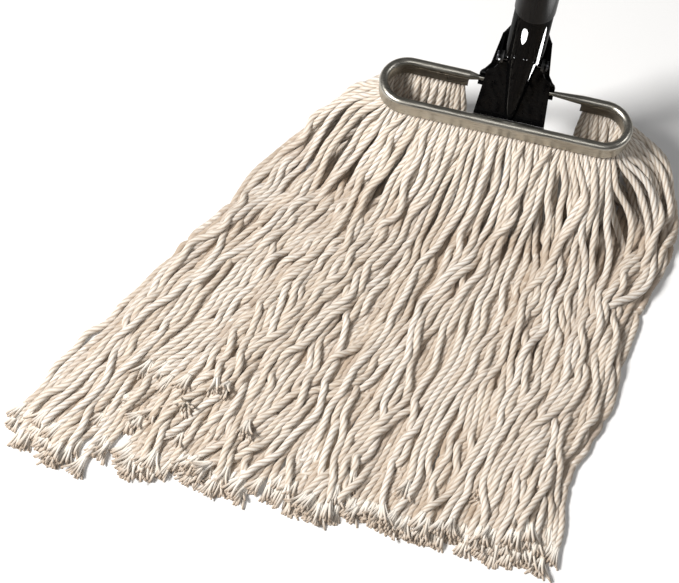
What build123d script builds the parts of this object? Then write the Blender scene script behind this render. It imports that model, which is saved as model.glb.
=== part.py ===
from build123d import *
import math
import os

# String mop: a ring-shaped channel frame grips a skirt of cotton yarn, a stamped holder joins the
# frame to a straight pole, and a sprung lever behind the holder presses on the frame's two ends.
# Millimetres. While a piece is being shaped, x runs along the ring, y runs from the yarn side to
# the user's side, and the origin is on the floor under the pole. save() moves every piece so that
# the finished part's origin is the middle of its footprint on the floor.

# ring frame
RING_LENGTH = 168.0
RING_WIDTH = 39.2
RING_SHIFT = -4.0
RING_HEIGHT = 60.0
BEAD_D = 6.2
SHEET_RING = 0.6
FLANGE_W = 5.2
FLANGE_DROP = 8.6
TONGUE_D = 3.4
TONGUE_TIP = 3.0
TONGUE_START = 24.5
REAR_LEFT_END = -31.0
REAR_RIGHT_END = 44.0
SADDLE_W = 47.0
SADDLE_T = 0.5

# holder: heights are above the middle of the ring's bead
SHEET = 1.2
NECK_D = 24.2
NECK_START = 72.0
NECK_END = 145.0
PLATE_FOOT = 1.0
PLATE_HALF = 23.3
PLATE_HEIGHT = 38.0
PLATE_TOP_Y = -1.5
SHOULDER = (20.6, 35.5)
SHOULDER_R = 2.5
WEB_FOOT = (16.2, 38.4)
WEB_TOP = (12.8, 44.5)
FLUTE_TOE_R = 3.8
FLUTE_TOE = (-9.8, 3.0)
FLUTE_TOP_R = 11.3
FLUTE_TOP = 66.0
RIM_SIDE = 46.0
RIM_FRONT = 64.5
KNUCKLE_R = 1.7
KNUCKLE_RISE = 3.4
KNUCKLE_ANGLES = (-58, -28, 4, 38)
EAR_LOW = 39.0
EAR_DEPTH = 7.0

# release lever, its pin and its spring
PIN_D = 4.0
PIN_HEIGHT = 49.0
PIN_GAP = 0.05
EYE_R = 5.4
PIN_HEAD_D = 6.4
PIN_HEAD_T = 1.1
PIN_END = 1.4
WASHER_T = 1.0
SPACER_D = 8.0
CHEEK_HALF = 15.2
CHEEK_DROP = 22.0
CHEEK_HEM = 3.0
HOOK_GAP = 0.25
HOOK_HALF = 25.0
HOOK_LIP = 3.6
LEVER_OUTLINE = [(25.0, -4.0), (25.0, 6.0), (24.2, 10.0), (19.2, 21.0), (15.9, 54.0), (11.8, 62.0)]
THUMB_HALF = 9.5
LEVER_Y = 13.8
LEVER_STRAIGHT = 14.0
LEVER_BEND = 56.0
LEVER_TOP = 88.0
LEVER_TOP_Y = 23.5
SPRING_WIRE = 1.3
SPRING_R = 3.7
SPRING_PITCH = 1.7
SPRING_LENGTH = 6.8
SPRING_FRONT_END = (-8.0, 16.0)
SPRING_REAR_END = (11.9, 5.0)

# pole
POLE_D = 25.4
POLE_WALL = 0.5
POLE_START = 103.0
POLE_LENGTH = 1100.0
SCREW_HEIGHT = 124.0
SCREW_D = 3.5
SCREW_HEAD_D = 6.6
SCREW_HEAD_T = 2.0
SCREW_CROSS = (3.8, 0.8)
CAP_PLUG = 26.0
CAP_COLLAR = 6.0
CAP_EYE_T = 9.0
CAP_EYE_R = 11.5
CAP_HOLE_D = 11.0
CAP_EYE_RISE = 24.0

# skirt: each edge line is the plan of one boundary from the ring out to the yarn tips
HEADING_INSET = 1.0
TAPE_T = 2.6
TAPE_DROP = 13.0
TAPE_TOP = 3.2
CORD_D = 4.4
THREAD_D = 0.6
SEAM_DROP = 7.4
FRONT_SECTORS = 6
SECTOR_GAP = 0.2
LEFT_EDGE = [(-77, 15), (-116, -8), (-157, -71), (-193, -137), (-226, -215), (-248, -263)]
RIGHT_EDGE = [(70, 15), (118, -14), (124, -46), (108, -100), (101, -170), (86, -284)]
FRONT_ROOT = (-68.0, 60.0)
FRONT_TIP = (-212.0, 58.0)
TIP_Y = -292.0
ROW_SHARES = [0.0, 0.1, 0.26, 0.48, 0.76, 1.0]
ROW_TOPS = [46.0, 45.0, 30.0, 24.0, 20.0, 12.0]
ROW_FLOORS = [34.0, 0.0, 0.0, 0.0, 0.0, 0.0]
REAR_LEFT_X = (-76.0, -26.5)
REAR_RIGHT_X = (43.0, 68.0)
REAR_ROWS = [(46.0, 14.2, 18.8), (28.0, 12.0, 21.5), (8.0, 4.0, 24.0), (0.0, -6.0, 24.0)]

BEAD_R = BEAD_D / 2
TONGUE_R = TONGUE_D / 2
ARC_R = (RING_WIDTH - BEAD_D) / 2
ARC_X = (RING_LENGTH - RING_WIDTH) / 2
LEFT_ARC_X = RING_SHIFT - ARC_X
RIGHT_ARC_X = RING_SHIFT + ARC_X
NECK_R = NECK_D / 2
POLE_R = POLE_D / 2
POLE_BOTTOM = RING_HEIGHT + POLE_START
POLE_TOP = POLE_BOTTOM + POLE_LENGTH
SCREW_Z = RING_HEIGHT + SCREW_HEIGHT
PIN_Z = RING_HEIGHT + PIN_HEIGHT
PIN_R = PIN_D / 2
HOOK_INNER = TONGUE_R + HOOK_GAP
SWING = math.degrees(math.atan2(ARC_R, PIN_HEIGHT))
HEADING_LEFT_END = REAR_LEFT_END - HEADING_INSET
HEADING_RIGHT_END = REAR_RIGHT_END + HEADING_INSET
PLATE_FOOT_Y = -ARC_R + BEAD_R + SADDLE_T + SHEET / 2 + 0.05
FOOT_MIN_X = LEFT_EDGE[-1][0]
FOOT_MAX_X = max(x for x, y in RIGHT_EDGE)
FOOT_MID_X = (FOOT_MIN_X + FOOT_MAX_X) / 2
FOOT_MID_Y = (TIP_Y + REAR_ROWS[-1][2]) / 2


def save(name, shape):
    moved = shape.moved(Location((-FOOT_MID_X, -FOOT_MID_Y, 0)))
    export_step(moved, f"parts/{name}.step")


def block(x0, x1, y0, y1, z0, z1):
    centre = Location(((x0 + x1) / 2, (y0 + y1) / 2, (z0 + z1) / 2))
    return centre * Box(x1 - x0, y1 - y0, z1 - z0)


def rod(start, end, radius):
    line = Vector(*end) - Vector(*start)
    plane = Plane(origin=start, z_dir=line)
    return plane * Cylinder(radius, line.length, align=(Align.CENTER, Align.CENTER, Align.MIN))


def disc_x(x0, x1, y, z, radius):
    return rod((x0, y, z), (x1, y, z), radius)


# --- ring frame -------------------------------------------------------------------------------


def ring_section():
    """The channel: a round bead with two flanges under it, open at the bottom."""
    drop = FLANGE_DROP - BEAD_R / 2
    legs = Pos(0, -BEAD_R / 2 - drop / 2) * Rectangle(FLANGE_W, drop)
    slot = Pos(0, -FLANGE_DROP / 2 - 0.5) * Rectangle(FLANGE_W - 2 * SHEET_RING, FLANGE_DROP + 1)
    return Circle(BEAD_R) + legs - slot - Circle(BEAD_R - SHEET_RING)


def along_ring(section, rear_left, rear_right):
    """Carries a section, drawn as offset and height, round the ring from one rear end to the other."""
    face = Plane.YZ * section
    left_rear = Pos(rear_left, ARC_R, RING_HEIGHT) * extrude(face, LEFT_ARC_X - rear_left)
    front = Pos(LEFT_ARC_X, -ARC_R, RING_HEIGHT) * extrude(face, 2 * ARC_X)
    right_rear = Pos(rear_right, ARC_R, RING_HEIGHT) * extrude(face, RIGHT_ARC_X - rear_right)
    arcs = []
    for centre, way in ((LEFT_ARC_X, -1), (RIGHT_ARC_X, 1)):
        axis = Axis((centre, 0, 0), (0, 0, way))
        arcs.append(revolve(Pos(centre, -ARC_R, RING_HEIGHT) * face, axis, 180))
    return left_rear + arcs[0] + front + arcs[1] + right_rear


def tongue(end_x, tip_x):
    """One drawn-down end of the ring: a cone and then a plain rod."""
    way = 1 if tip_x > end_x else -1
    start = way * -TONGUE_START
    wide = Plane(origin=(end_x - way * 0.5, ARC_R, RING_HEIGHT), z_dir=(way, 0, 0)) * Circle(BEAD_R)
    thin = Plane(origin=(start, ARC_R, RING_HEIGHT), z_dir=(way, 0, 0)) * Circle(TONGUE_R)
    cone = loft([wide, thin])
    return cone + rod((start - way, ARC_R, RING_HEIGHT), (tip_x, ARC_R, RING_HEIGHT), TONGUE_R)


def ring_frame():
    ring = along_ring(ring_section(), REAR_LEFT_END, REAR_RIGHT_END)
    return ring + tongue(REAR_LEFT_END, -TONGUE_TIP) + tongue(REAR_RIGHT_END, TONGUE_TIP)


def ring_saddle():
    """Thin strap bent over the front of the bead, under the holder's foot."""
    inner = BEAD_R + 0.02
    wrap = disc_x(-SADDLE_W / 2, SADDLE_W / 2, -ARC_R, RING_HEIGHT, inner + SADDLE_T)
    wrap -= disc_x(-SADDLE_W, SADDLE_W, -ARC_R, RING_HEIGHT, inner)
    below = block(-SADDLE_W, SADDLE_W, -ARC_R - 10, -ARC_R + 10, RING_HEIGHT - 10, RING_HEIGHT - 1.2)
    return wrap - below


# --- holder -----------------------------------------------------------------------------------


def plate_plane():
    """The holder's flat foot: leans from the ring's front run back towards the pole's axis."""
    lean = Vector(0, PLATE_TOP_Y - PLATE_FOOT_Y, PLATE_HEIGHT)
    origin = (0, PLATE_FOOT_Y, RING_HEIGHT + PLATE_FOOT)
    stretch = lean.length / PLATE_HEIGHT
    return Plane(origin=origin, x_dir=(1, 0, 0), z_dir=Vector(1, 0, 0).cross(lean)), stretch


def plate_outline(stretch):
    """Tapered plate with rounded shoulders that rise into a web on each side of the neck."""
    half = [(PLATE_HALF, PLATE_FOOT), SHOULDER, WEB_FOOT, WEB_TOP]
    right = [(x, (z - PLATE_FOOT) * stretch) for x, z in half]
    left = [(-x, z) for x, z in reversed(right)]
    outline = Polygon(*right, *left, align=None)
    corners = outline.vertices().filter_by_position(Axis.Y, right[1][1] - 1, right[2][1] + 1)
    return fillet(corners, SHOULDER_R)


def flute(shrink):
    """Oblique cone pressed forward out of the plate: round inside the neck, small at its toe."""
    toe_y, toe_z = FLUTE_TOE
    top = Pos(0, 0, RING_HEIGHT + FLUTE_TOP) * Circle(FLUTE_TOP_R - shrink)
    toe = Pos(0, toe_y, RING_HEIGHT + toe_z) * Circle(FLUTE_TOE_R - shrink)
    return loft([toe, top])


def holder_foot():
    plane, stretch = plate_plane()
    plate = plane * extrude(plate_outline(stretch), SHEET / 2, both=True)
    behind = plane * Pos(0, 0, -50 - SHEET / 2) * Box(200, 300, 100)
    return plate + (flute(0) - behind) - flute(SHEET)


def neck_rim(y):
    """Height of the neck's slanted lower rim: low at the sides and high in front."""
    return RING_HEIGHT + RIM_SIDE - y / NECK_R * (RIM_FRONT - RIM_SIDE)


def holder_body():
    """Half-round wall between the foot and the neck, with straight cheeks that carry the pin."""
    low = RING_HEIGHT + EAR_LOW
    high = RING_HEIGHT + NECK_START
    wall = rod((0, 0, low), (0, 0, high), NECK_R) + block(-NECK_R, NECK_R, 0, EAR_DEPTH, low, high)
    hollow = rod((0, 0, low - 1), (0, 0, high + 1), NECK_R - SHEET)
    hollow += block(-NECK_R + SHEET, NECK_R - SHEET, 0, 50, low - 1, high + 1)
    back = block(-50, 50, EAR_DEPTH, 50, low - 1, high + 1)
    front = Polygon((0, low - 1), (0, neck_rim(0)), (-20, neck_rim(-20)), (-20, low - 1), align=None)
    return wall - hollow - back - extrude(Plane.YZ * front, 50, both=True)


def knuckles():
    """Row of small round bosses above the neck's rim."""
    found = []
    for angle in KNUCKLE_ANGLES:
        x = (NECK_R - KNUCKLE_R / 2) * math.sin(math.radians(angle))
        y = -(NECK_R - KNUCKLE_R / 2) * math.cos(math.radians(angle))
        found.append(Pos(x, y, neck_rim(y) + KNUCKLE_RISE) * Sphere(KNUCKLE_R))
    return found


def front_shell():
    neck = rod((0, 0, RING_HEIGHT + NECK_START), (0, 0, RING_HEIGHT + NECK_END), NECK_R)
    bore = rod((0, 0, RING_HEIGHT + RIM_SIDE), (0, 0, RING_HEIGHT + NECK_END + 1), NECK_R - SHEET)
    neck -= bore
    shell = holder_foot() + holder_body() + neck
    for boss in knuckles():
        shell += boss - bore - flute(0)
    shell -= disc_x(-50, 50, 0, PIN_Z, PIN_R)
    return shell - rod((0, 0, SCREW_Z), (0, 50, SCREW_Z), SCREW_D / 2)


# --- release lever ----------------------------------------------------------------------------


def lever_hook():
    """Half-round channel behind the ring's tongues, with a lip under them along its swing."""
    outer = HOOK_INNER + SHEET
    hook = Circle(outer) - Circle(HOOK_INNER) - Pos(-outer, 0) * Rectangle(2 * outer, 4 * outer)
    lip = Pos(-HOOK_LIP / 2 + 0.1, -HOOK_INNER - SHEET / 2) * Rectangle(HOOK_LIP + 0.2, SHEET)
    face = Plane.YZ * (Rot(0, 0, SWING) * (hook + lip))
    return Pos(-HOOK_HALF, ARC_R, RING_HEIGHT) * extrude(face, 2 * HOOK_HALF)


def lever_outline():
    """The lever seen from behind: wide at the hook, narrower at the pin, with a thumb tab on top."""
    right = LEVER_OUTLINE + [(THUMB_HALF, LEVER_OUTLINE[-1][1]), (THUMB_HALF, LEVER_TOP + 1)]
    left = [(-x, z) for x, z in reversed(right)]
    return Polygon(*right, *left, align=None)


def lever_leaf():
    """The lever's sheet, bent from the hook up to the thumb tab, then trimmed to its outline."""
    hook_r = HOOK_INNER + SHEET / 2
    joint = math.radians(90 - SWING)
    spine = Polyline(
        (ARC_R + hook_r * math.cos(joint), RING_HEIGHT + hook_r * math.sin(joint)),
        (LEVER_Y, RING_HEIGHT + LEVER_STRAIGHT),
        (LEVER_Y, RING_HEIGHT + LEVER_BEND),
        (LEVER_TOP_Y, RING_HEIGHT + LEVER_TOP),
    )
    band = offset(spine, SHEET / 2, kind=Kind.INTERSECTION)
    sheet = extrude(Plane.YZ * make_face(band), HOOK_HALF, both=True)
    return sheet & extrude(Plane.XZ * Pos(0, RING_HEIGHT) * lever_outline(), 60, both=True)


def lever_cheek(side):
    """Side wall from the leaf forward to the pin."""
    eye = disc_x(side * CHEEK_HALF, side * (CHEEK_HALF - SHEET), 0, PIN_Z, EYE_R)
    top = PIN_Z + EYE_R
    low = PIN_Z - CHEEK_DROP
    hem_y = LEVER_Y - CHEEK_HEM
    plan = Polygon((0, top), (LEVER_Y, top), (LEVER_Y, low), (hem_y, low), (0, PIN_Z - EYE_R), align=None)
    middle = side * (CHEEK_HALF - SHEET / 2)
    wall = Pos(middle, 0, 0) * extrude(Plane.YZ * plan, SHEET / 2, both=True)
    return eye + wall - disc_x(-50, 50, 0, PIN_Z, PIN_R + PIN_GAP)


def release_lever():
    return lever_hook() + lever_leaf() + lever_cheek(-1) + lever_cheek(1)


def pivot_pin():
    face = CHEEK_HALF + 2 * PIN_GAP
    shank = disc_x(-face - PIN_HEAD_T / 2, face + PIN_END, 0, PIN_Z, PIN_R)
    head = disc_x(-face - PIN_HEAD_T, -face, 0, PIN_Z, PIN_HEAD_D / 2)
    return shank + fillet(head.edges().group_by(Axis.X)[0], PIN_HEAD_T / 2)


def pin_retainer():
    near = CHEEK_HALF + 2 * PIN_GAP
    ring = disc_x(near, near + WASHER_T, 0, PIN_Z, PIN_HEAD_D / 2)
    return ring - disc_x(0, 50, 0, PIN_Z, PIN_R)


def pin_spacers():
    near = NECK_R + PIN_GAP
    far = CHEEK_HALF - SHEET - PIN_GAP
    bore = disc_x(-50, 50, 0, PIN_Z, PIN_R)
    return Compound([disc_x(side * near, side * far, 0, PIN_Z, SPACER_D / 2) - bore for side in (-1, 1)])


def torsion_spring():
    """Coil round the pin, one leg up to the neck's wall and one back to the lever's leaf."""
    start = -SPRING_LENGTH / 2
    path = Helix(SPRING_PITCH, SPRING_LENGTH, SPRING_R)
    wire = sweep(Plane(origin=path @ 0, z_dir=path % 0) * Circle(SPRING_WIRE / 2), path)
    coil = Pos(start, 0, PIN_Z) * Rot(0, 90, 0) * wire
    front_y, front_rise = SPRING_FRONT_END
    rear_y, rear_rise = SPRING_REAR_END
    front_leg = rod((start, 0, PIN_Z + SPRING_R - 0.6), (start, front_y, PIN_Z + front_rise), SPRING_WIRE / 2)
    rear_leg = rod((-start, 0, PIN_Z - SPRING_R + 0.3), (-start, rear_y, PIN_Z + rear_rise), SPRING_WIRE / 2)
    return coil + front_leg + rear_leg


# --- pole -------------------------------------------------------------------------------------


def pole_tube():
    tube = rod((0, 0, POLE_BOTTOM), (0, 0, POLE_TOP), POLE_R)
    tube -= rod((0, 0, POLE_BOTTOM - 1), (0, 0, POLE_TOP + 1), POLE_R - POLE_WALL)
    return tube - rod((0, 0, SCREW_Z), (0, 50, SCREW_Z), SCREW_D / 2)


def pole_screw():
    seat = POLE_R + 0.05
    shank = rod((0, NECK_R - 4, SCREW_Z), (0, seat + 0.2, SCREW_Z), SCREW_D / 2)
    head = rod((0, seat, SCREW_Z), (0, seat + SCREW_HEAD_T, SCREW_Z), SCREW_HEAD_D / 2)
    head = fillet(head.edges().group_by(Axis.Y)[-1], 0.6 * SCREW_HEAD_T)
    reach, width = SCREW_CROSS
    cross = Box(reach, 2 * SCREW_HEAD_T, width) + Box(width, 2 * SCREW_HEAD_T, reach)
    return shank + head - Pos(0, seat + 1.5 * SCREW_HEAD_T, SCREW_Z) * cross


def pole_end_cap():
    """Plug with a collar and a flat hanging eye."""
    plug = rod((0, 0, POLE_TOP - CAP_PLUG), (0, 0, POLE_TOP + 0.1), POLE_R - POLE_WALL - 0.1)
    collar = rod((0, 0, POLE_TOP + 0.1), (0, 0, POLE_TOP + CAP_COLLAR), POLE_R + 0.6)
    collar = fillet(collar.edges().group_by(Axis.Z)[-1], 2.5)
    eye_z = POLE_TOP + CAP_EYE_RISE
    half = CAP_EYE_T / 2
    eye = disc_x(-half, half, 0, eye_z, CAP_EYE_R)
    eye += block(-half, half, -CAP_EYE_R, CAP_EYE_R, POLE_TOP + CAP_COLLAR / 2, eye_z)
    eye -= disc_x(-50, 50, 0, eye_z, CAP_HOLE_D / 2)
    rim = eye.edges().filter_by(GeomType.CIRCLE).group_by(SortBy.RADIUS)[-1]
    return plug + collar + fillet(rim, 1.5)


# --- yarn skirt -------------------------------------------------------------------------------


def heading_tape():
    strip = Pos(0, -(TAPE_TOP + TAPE_DROP) / 2) * Rectangle(TAPE_T, TAPE_DROP - TAPE_TOP)
    return along_ring(strip, HEADING_LEFT_END, HEADING_RIGHT_END)


def heading_cord():
    return along_ring(Circle(CORD_D / 2), HEADING_LEFT_END, HEADING_RIGHT_END)


def heading_stitches():
    rows = []
    for side in (-1, 1):
        thread = Pos(side * (TAPE_T + THREAD_D) / 2, -SEAM_DROP) * Circle(THREAD_D / 2)
        rows.append(along_ring(thread, HEADING_LEFT_END, HEADING_RIGHT_END))
    return Compound(rows)


def edge_line(k):
    """Plan of boundary k of the front sectors, from the ring to the tips."""
    share = k / FRONT_SECTORS
    root = FRONT_ROOT[0] + share * (FRONT_ROOT[1] - FRONT_ROOT[0])
    tip = FRONT_TIP[0] + share * (FRONT_TIP[1] - FRONT_TIP[0])
    root_y = -ARC_R - 2.5
    return [(root + (tip - root) * s, root_y + (TIP_Y - root_y) * s) for s in ROW_SHARES]


def sector(left, right):
    """One closed slab of yarn between two edge lines: high at the ring, thin at the tips."""
    rows = []
    for (x0, y0), (x1, y1), top, floor in zip(left, right, ROW_TOPS, ROW_FLOORS):
        x0 += SECTOR_GAP
        x1 -= SECTOR_GAP
        corners = [(x0, y0, floor), (x1, y1, floor), (x1, y1, top), (x0, y0, top)]
        rows.append(make_face(Polyline(*corners, close=True)))
    return loft(rows, ruled=True)


def rear_block(x0, x1):
    """Yarn that hangs from the rear run and tucks forward under the ring."""
    rows = []
    for z, y0, y1 in reversed(REAR_ROWS):
        rows.append(Pos((x0 + x1) / 2, (y0 + y1) / 2, z) * Rectangle(x1 - x0, y1 - y0))
    return loft(rows, ruled=True)


def yarn_sectors():
    lines = [LEFT_EDGE] + [edge_line(k) for k in range(FRONT_SECTORS + 1)] + [RIGHT_EDGE]
    names = ["yarn_left_end"] + [f"yarn_front_{k + 1}" for k in range(FRONT_SECTORS)] + ["yarn_right_end"]
    found = {name: sector(lines[i], lines[i + 1]) for i, name in enumerate(names)}
    found["yarn_rear_left"] = rear_block(*REAR_LEFT_X)
    found["yarn_rear_right"] = rear_block(*REAR_RIGHT_X)
    return found


def main():
    os.makedirs("parts", exist_ok=True)
    save("ring_frame", ring_frame())
    save("ring_saddle", ring_saddle())
    save("front_shell", front_shell())
    save("release_lever", release_lever())
    save("pivot_pin", pivot_pin())
    save("pin_retainer", pin_retainer())
    save("pin_spacers", pin_spacers())
    save("torsion_spring", torsion_spring())
    save("pole_tube", pole_tube())
    save("pole_screw", pole_screw())
    save("pole_end_cap", pole_end_cap())
    save("heading_tape", heading_tape())
    save("heading_cord", heading_cord())
    save("heading_stitches", heading_stitches())
    for name, solid in yarn_sectors().items():
        save(name, solid)


main()
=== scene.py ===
import bpy
import math
import numpy as np
from mathutils import Matrix, Vector


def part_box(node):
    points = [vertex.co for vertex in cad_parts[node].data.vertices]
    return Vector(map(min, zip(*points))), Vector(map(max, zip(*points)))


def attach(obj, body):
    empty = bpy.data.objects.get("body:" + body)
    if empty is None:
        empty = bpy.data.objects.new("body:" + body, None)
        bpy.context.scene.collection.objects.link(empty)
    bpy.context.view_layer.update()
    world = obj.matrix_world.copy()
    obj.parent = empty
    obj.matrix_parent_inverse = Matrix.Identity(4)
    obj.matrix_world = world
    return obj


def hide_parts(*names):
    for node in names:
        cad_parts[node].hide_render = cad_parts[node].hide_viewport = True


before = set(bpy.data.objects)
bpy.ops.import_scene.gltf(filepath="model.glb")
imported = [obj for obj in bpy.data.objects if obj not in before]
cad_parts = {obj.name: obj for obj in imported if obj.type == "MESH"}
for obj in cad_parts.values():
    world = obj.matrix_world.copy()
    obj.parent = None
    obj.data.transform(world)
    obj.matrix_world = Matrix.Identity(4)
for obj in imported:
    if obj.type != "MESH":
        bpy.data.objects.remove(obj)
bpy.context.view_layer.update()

# Places read from the frame, in metres.
RING_LOW, RING_HIGH = (np.array(c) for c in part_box("ring_frame"))
POLE_LOW, POLE_HIGH = (np.array(c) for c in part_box("pole_tube"))
AXIS = (POLE_LOW[:2] + POLE_HIGH[:2]) / 2
BEAD_R = 0.0031
FLANGE_HALF = 0.0026
RING_Z = RING_HIGH[2] - BEAD_R
FLANGE_Z = RING_LOW[2]
ARC_R = (RING_HIGH[1] - RING_LOW[1]) / 2 - BEAD_R
LEFT_ARC = RING_LOW[0] + BEAD_R + ARC_R
RIGHT_ARC = RING_HIGH[0] - BEAD_R - ARC_R
REAR_LEFT = AXIS[0] - 0.033
REAR_RIGHT = AXIS[0] + 0.046

# Yarn: a soft four-ply cotton cord, thinner where the heading squeezes it.
SEED = 11
YARN_R = 0.00235
ROOT_R = 0.0012
ROOT_EASE = 0.018
USUAL_LENGTH = 0.31
TWIST_PITCH = 0.023
PLIES = 4
PLY_ANGLES = np.radians([0, 24, 45, 66])
PLY_REACH = np.array([1.0, 0.96, 0.85, 0.96])
YARN_SIDES = PLIES * len(PLY_REACH)
TAPER_LENGTH = 0.005
GRAIN_LENGTH = 0.012

# Frayed tips: loose strands, spread evenly over the yarn's end.
STRANDS = 14
STRAND_RINGS = 8
STRAND_SIDES = 6
STRAND_RADII = (0.00084, 0.00080, 0.00050)
STRAND_LENGTH = (0.011, 0.0155)
STRAND_FAN = (0.2, 0.5)
STRAND_CURL = 0.0005
STRAND_SINK = 0.004
STRAND_LOW = 0.0006
STRAND_SPOT = 0.62
GOLDEN_TURN = 2.4

# Layout: two rows of yarns leave the heading, and those at the rear tuck under the front ones.
ROOT_SPACING = 0.00146
FRONT_SECTORS = 6
ROOT_STAGGER = 0.0009
ROOT_Z = FLANGE_Z + 0.001
EXIT_Z = FLANGE_Z - 0.0045
STEPS = 66
DETAIL_STEP = 0.0016
LIFT = 0.030
OUTER_REACH = 0.056
INNER_REACH = 0.036
REAR_REACH = 0.009
REAR_LEVEL = 0.002
REAR_TUCK = 0.36
LOOSE_LENGTH = 0.013
SHORT_YARNS = 0.09
SHORT_LOCK = (0.72, 1.08)
SHORT_SHARE = (0.73, 0.79)
CURVE_STEPS = 24

# Straying sideways, in metres: with the neighbours (gather), alone (own), and in small kinks.
DRIFT = 0.007
DRIFT_MOST = 0.014
OUTER_GATHER = 0.0048
INNER_GATHER = 0.0015
TIP_GATHER = 1.1
OUTER_OWN = 0.0028
INNER_OWN = 0.0045
KINK = 0.0010
ROOT_KINK = 0.0018
ROOT_KINK_LENGTH = 0.09
EASE_POWER = 1.2

# Heights before settling, and how evenly the tips are cut.
CLIMB_LENGTH = 0.05
CLIMB_START = 0.2
DROP_POWER = 1.6
UNDULATION = 0.0042
TIP_UNEVEN = 0.016

# Settling: steps in metres a round, and shares of an error that a round corrects.
ROUNDS = 240
FALL_EARLY = 0.0005
FALL_LATE = 0.00022
HELD_LENGTH = 0.075
HOLD_UP = 0.05
KEEP_ROUTE = 0.055
STIFFNESS = 0.22
PUSH = 0.38
SEARCH_MARGIN = 0.0022
SEARCH_EVERY = 5

# Painted shade in the pile: yarns that lie under others get a darker, browner base colour; GROOVE_SHADE
# scales all of the painted shade in the cotton.
DEPTH_CELL = 0.004
DEEP = 0.007
DEEP_SHADE = 0.88
DEEP_FROM = 0.05
DEEP_EASE = 0.03
GROOVE_SHADE = 0.74

# Heading tape: folded over the yarns' heads, inside the channel.
TAPE_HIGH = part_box("heading_tape")[1][2]
TAPE_LOW = FLANGE_Z + 0.0004
TAPE_HALF = 0.0013
TAPE_T = 0.0005
TAPE_BEND_STEPS = 9
TAPE_LEG_STEPS = 6
TAPE_STATIONS = 500
TAPE_RIPPLE = 0.00012
TAPE_RIPPLE_LENGTH = 0.0058
WEAVE = 0.0008

# Light and floor: powers in watts, the floor's half width in metres.
KEY_POWER = 56
FILL_POWER = 5
FRONT_POWER = 2.5
SKY_STRENGTH = 0.10
FLOOR_HALF = 6.0

# The camera: above the yarn, turned so that the ring is right of and above the middle.
CAMERA_ELEVATION = math.radians(54.0)
CAMERA_AZIMUTH = math.radians(0.5)
CAMERA_ROLL = math.radians(13.0)
CAMERA_TURN = math.radians(4.73)
CAMERA_DROP = math.radians(5.37)
CAMERA_DISTANCE = 1.308
LENS = 106.04

# Where the yarns lie: lines in plan from the heading to the tips, in metres from the pole axis.
GUIDES = {
    "back_left": [
        (-0.068, 0.018), (-0.096, 0.010), (-0.128, -0.034),
        (-0.166, -0.112), (-0.200, -0.196), (-0.238, -0.274),
    ],
    "left": [
        (-0.085, 0.000), (-0.112, -0.016), (-0.144, -0.070),
        (-0.178, -0.136), (-0.210, -0.206), (-0.244, -0.284),
    ],
    "front_left": [(-0.068, -0.018), (-0.084, -0.060), (-0.118, -0.140), (-0.152, -0.215), (-0.184, -0.284)],
    "front_right": [(0.060, -0.018), (0.068, -0.060), (0.062, -0.140), (0.048, -0.215), (0.040, -0.284)],
    "right": [
        (0.077, 0.000), (0.108, -0.010), (0.113, -0.050), (0.090, -0.104),
        (0.088, -0.160), (0.068, -0.216), (0.060, -0.280),
    ],
    "back_right": [
        (0.060, 0.018), (0.096, 0.012), (0.116, -0.024), (0.094, -0.088),
        (0.090, -0.150), (0.070, -0.220), (0.062, -0.274),
    ],
}


# --- camera, floor, light ---------------------------------------------------------------------


def add_camera():
    """Looks at the ring from the yarn side, then turns down and left so that the whole head shows."""
    data = bpy.data.cameras.new("camera")
    data.sensor_width = 36.0
    data.lens = LENS
    data.clip_end = 20
    camera = bpy.data.objects.new("camera", data)
    bpy.context.scene.collection.objects.link(camera)
    level = math.cos(CAMERA_ELEVATION)
    heading = (math.sin(CAMERA_AZIMUTH) * level, math.cos(CAMERA_AZIMUTH) * level)
    forward = Vector((*heading, -math.sin(CAMERA_ELEVATION)))
    ring = Vector(((RING_LOW[0] + RING_HIGH[0]) / 2, AXIS[1], RING_Z))
    place = ring - forward * CAMERA_DISTANCE
    right = forward.cross(Vector((0, 0, 1))).normalized()
    up = right.cross(forward)
    turn = Matrix.Rotation(-CAMERA_ROLL, 3, forward)
    right, up = turn @ right, turn @ up
    aim = (forward - right * math.tan(CAMERA_TURN) - up * math.tan(CAMERA_DROP)).normalized()
    side = aim.cross(up).normalized()
    rotation = Matrix((side, side.cross(aim), -aim)).transposed()
    camera.matrix_world = Matrix.Translation(place) @ rotation.to_4x4()
    bpy.context.scene.camera = camera


def add_area(name, place, size, power, target=(0, 0, 0), colour=(1, 1, 1)):
    """A softbox, as wide and high as size says, that faces its target."""
    data = bpy.data.lights.new(name, "AREA")
    data.shape = "RECTANGLE"
    data.size, data.size_y = size
    data.energy = power
    data.color = colour
    lamp = bpy.data.objects.new(name, data)
    lamp.location = place
    lamp.rotation_euler = (Vector(target) - Vector(place)).to_track_quat("-Z", "Y").to_euler()
    bpy.context.scene.collection.objects.link(lamp)
    return lamp


def add_gleam(name, place, size, power, nodes):
    """A small card beside the pole that only shows as a highlight on the given parts."""
    lamp = add_area(name, place, size, power, (AXIS[0], AXIS[1], place[2]))
    lamp.visible_camera = False
    lamp.visible_diffuse = False
    lamp.data.use_shadow = False
    lamp.data.shape = "ELLIPSE"
    lit = bpy.data.collections.new(name)
    for node in nodes:
        lit.objects.link(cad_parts[node])
    lamp.light_linking.receiver_collection = lit


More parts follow.
